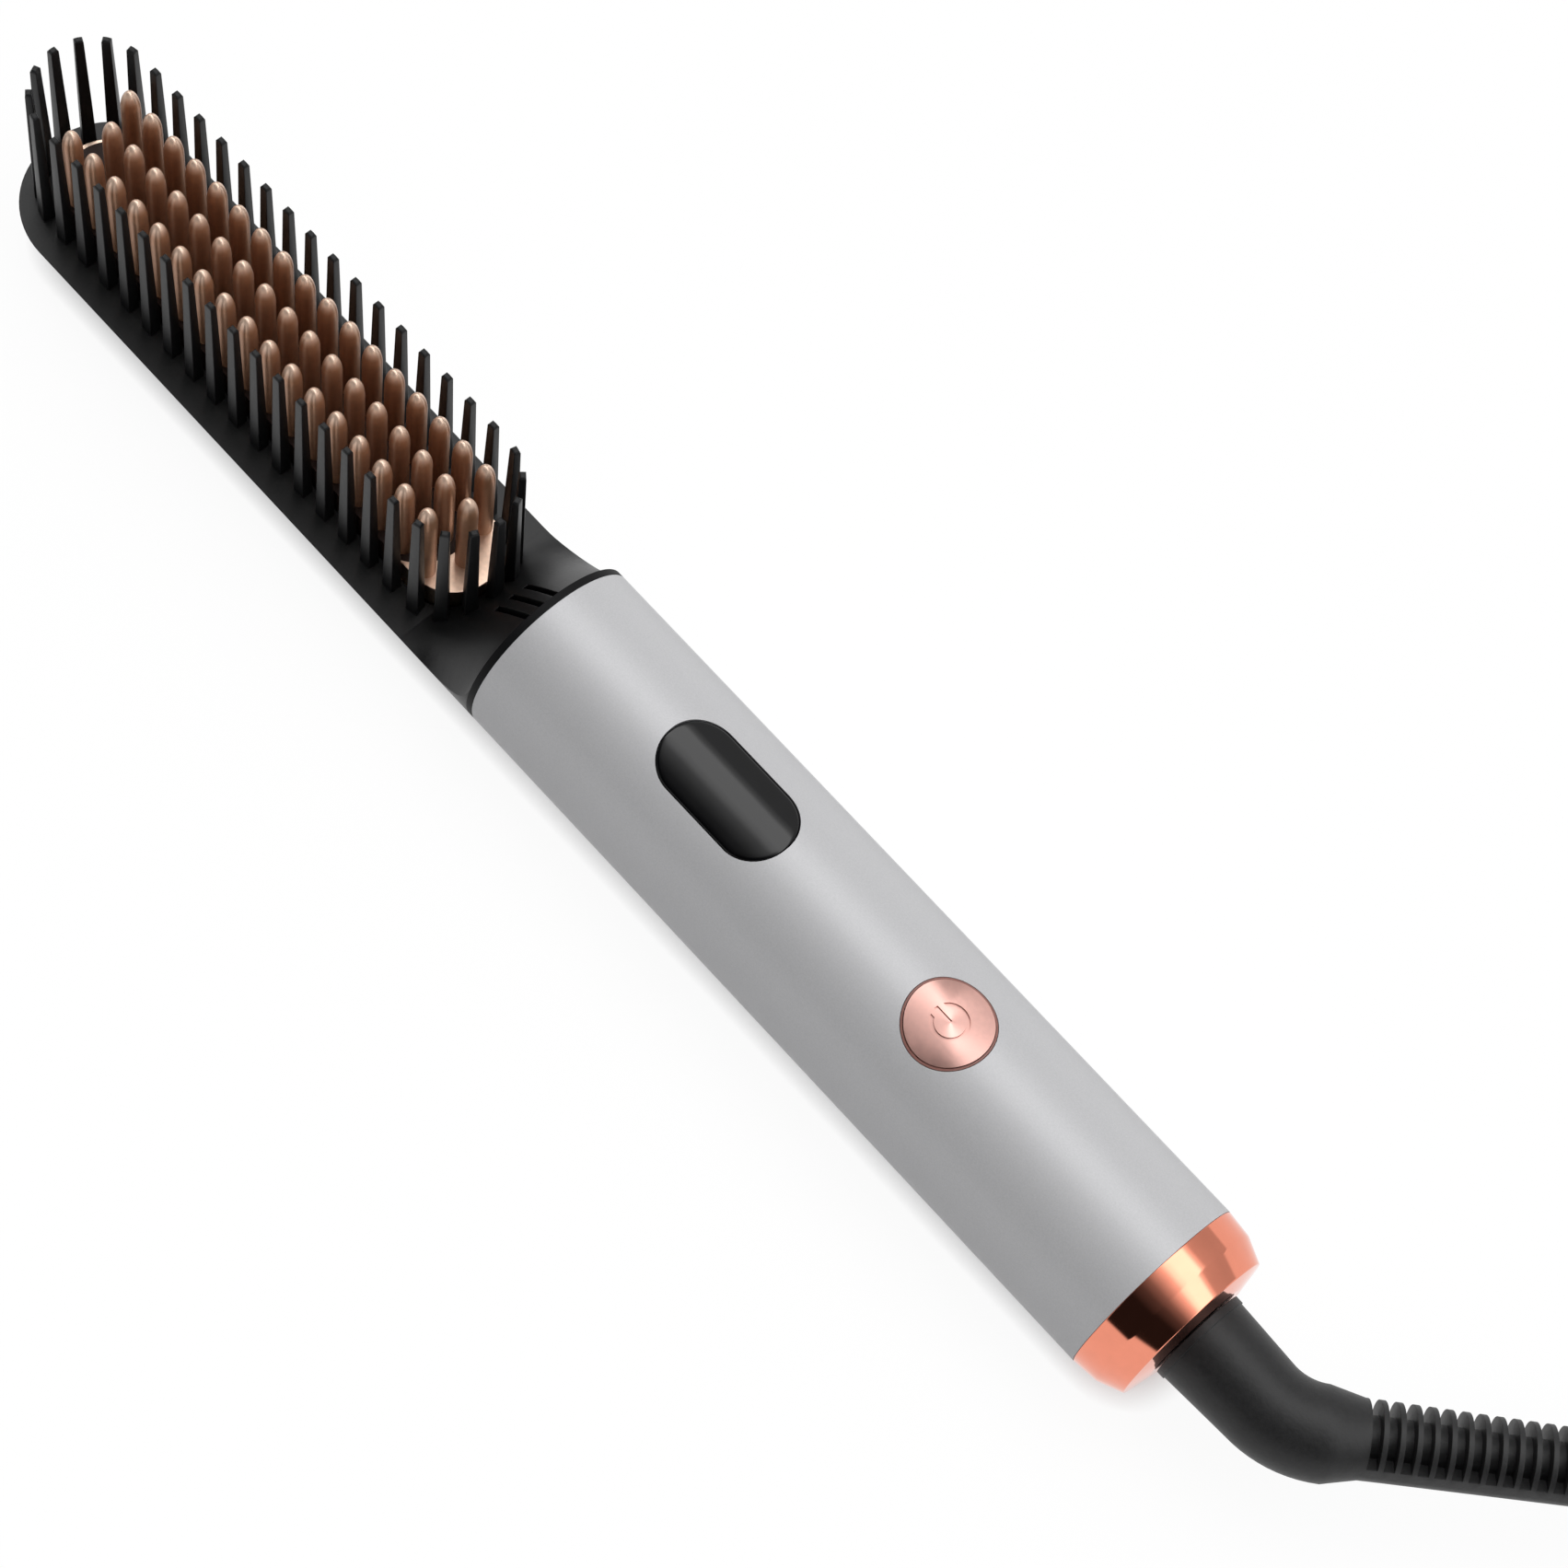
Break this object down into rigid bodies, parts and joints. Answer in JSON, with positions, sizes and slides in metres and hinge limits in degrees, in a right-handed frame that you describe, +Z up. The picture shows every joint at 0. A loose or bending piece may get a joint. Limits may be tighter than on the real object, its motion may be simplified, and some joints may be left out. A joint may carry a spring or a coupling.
{
  "type": "heated styling brush",
  "caption": "Slim heated styling brush: round grey handle with display window and power button, toothed hot plate ringed by bristles, swivelling strain relief, coiled cord with flat plug.",
  "frame": {"origin": "on the table under the middle of the brush, which lies on its back with the bristles up", "axes": "+X along the handle axis from the head towards the cord, +Z up along the bristles"},
  "size_m": [0.4759, 0.0796, 0.038],
  "materials": {
    "black_plastic": "satin moulded",
    "anodised_copper": "anodised copper brown",
    "ceramic_white": "fired ceramic",
    "spring_steel": "plain",
    "contact_brass": "plain",
    "bead_glass": "sealed bead",
    "lead_red": "silicone sleeve",
    "lead_blue": "silicone sleeve",
    "part_grey": "moulded",
    "silver_satin": "satin silver lacquer",
    "lens_black": "gloss",
    "chassis_white": "moulded",
    "board_green": "solder resist",
    "rose_gold": "polished rose gold",
    "plunger_black": "moulded",
    "cord_black": "soft matt",
    "sleeve_black": "moulded",
    "pin_nickel": "nickel plated"
  },
  "bodies": {
    "brush": {"comb_housing": "black_plastic", "bristles": "black_plastic", "back_shell": "black_plastic", "collar_ring": "black_plastic", "button_guide": "black_plastic", "heated_plate": "anodised_copper", "plate_teeth": "anodised_copper", "heater_element": "ceramic_white", "pressure_bar": "spring_steel", "board_screws": "spring_steel", "heater_terminals": "contact_brass", "contact_brushes": "contact_brass", "thermistor": "bead_glass", "heater_leads": "lead_red", "sensor_lead": "lead_red", "mains_leads": "lead_blue", "thermal_fuse": "part_grey", "triac": "part_grey", "controller_chip": "part_grey", "filter_capacitor": "part_grey", "board_fuse": "part_grey", "switch_housing": "part_grey", "display_module": "part_grey", "handle_tube": "silver_satin", "display_window": "lens_black", "inner_chassis": "chassis_white", "swivel_socket": "chassis_white", "circuit_board": "board_green", "tail_cap": "rose_gold"},
    "button": {"power_button": "rose_gold"},
    "plunger": {"switch_plunger": "plunger_black"},
    "cord_swivel": {"strain_relief": "cord_black", "swivel_clip": "spring_steel", "contact_rings": "contact_brass", "mains_cord": "cord_black", "cord_coil": "cord_black", "plug_tail": "cord_black", "plug_body": "cord_black", "plug_pins": "pin_nickel", "pin_sleeves": "sleeve_black"}
  },
  "joints": [
    {"name": "button_press", "type": "slide", "parent": "brush", "child": "button", "axis": [0, 0, -1], "range_m": [0, 0.0006], "stiffness_N_per_m": 1500, "springref_m": -0.0005},
    {"name": "plunger_press", "type": "slide", "parent": "brush", "child": "plunger", "axis": [0, 0, -1], "range_m": [0, 0.0006]},
    {"name": "cord_turn", "type": "hinge", "parent": "brush", "child": "cord_swivel", "pos_m": [0.12543, 0, 0.015], "axis": [1, 0, 0], "continuous": true}
  ],
  "couplings": [
    {"joint": "plunger_press", "follows": "button_press", "ratio": 1}
  ]
}
